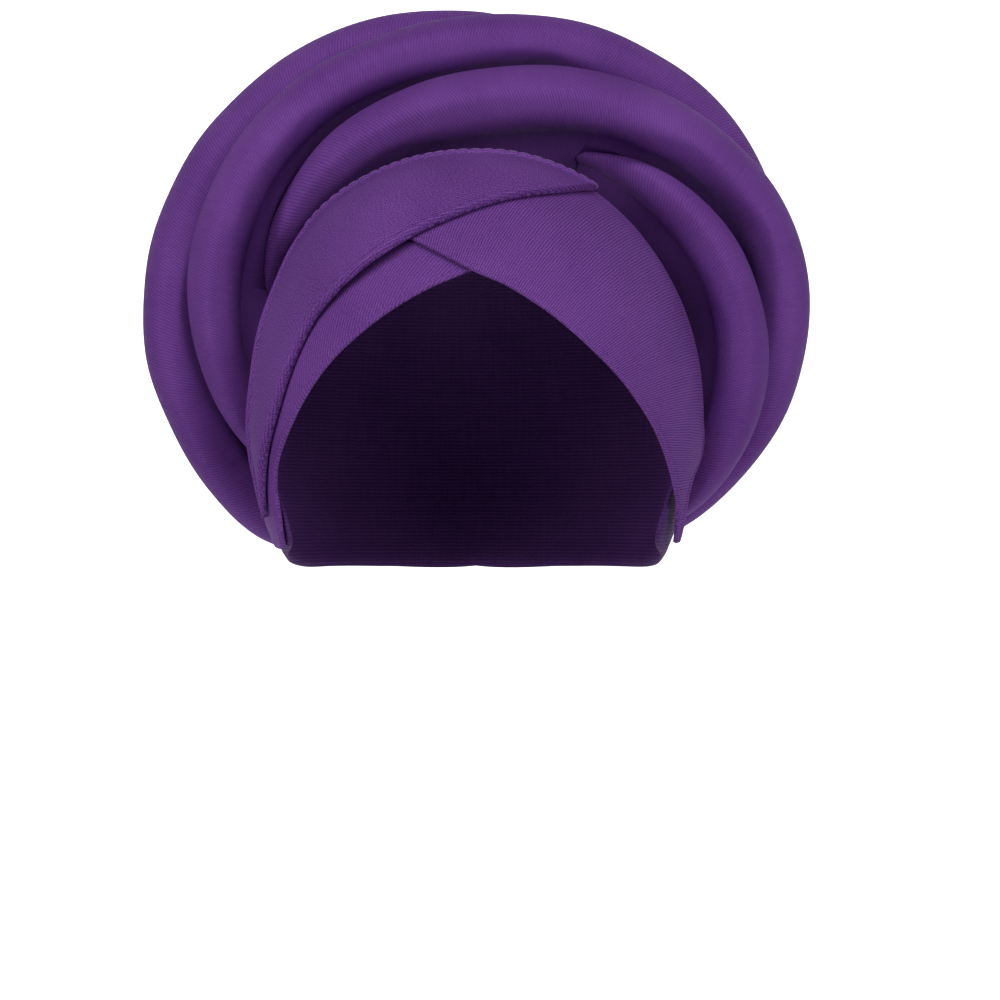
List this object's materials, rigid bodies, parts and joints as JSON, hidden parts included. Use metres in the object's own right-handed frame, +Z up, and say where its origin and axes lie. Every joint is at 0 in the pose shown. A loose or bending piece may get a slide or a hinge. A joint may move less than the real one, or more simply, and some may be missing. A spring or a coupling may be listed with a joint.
{
  "type": "twisted turban",
  "caption": "Head wrap of a stretch cap, crossed front bands and padded rolls twisted round it as a halo, worn form",
  "frame": {"origin": "the crown of the head, on the inside of the cap's top", "axes": "+Z up, +X to the viewer's right, which is the wearer's left, -Y the way the wearer faces"},
  "size_m": [0.2438, 0.2012, 0.206],
  "materials": {
    "violet_scuba": "matte twill-faced scuba cloth with a soft sheen",
    "violet_jersey": "matte stretch jersey"
  },
  "bodies": {
    "root": {"cap": "violet_jersey", "under_band": "violet_scuba", "cross_band": "violet_scuba", "over_band": "violet_scuba", "roll_inner": "violet_scuba", "roll_front": "violet_scuba", "roll_middle": "violet_scuba", "roll_back": "violet_scuba"}
  },
  "joints": []
}
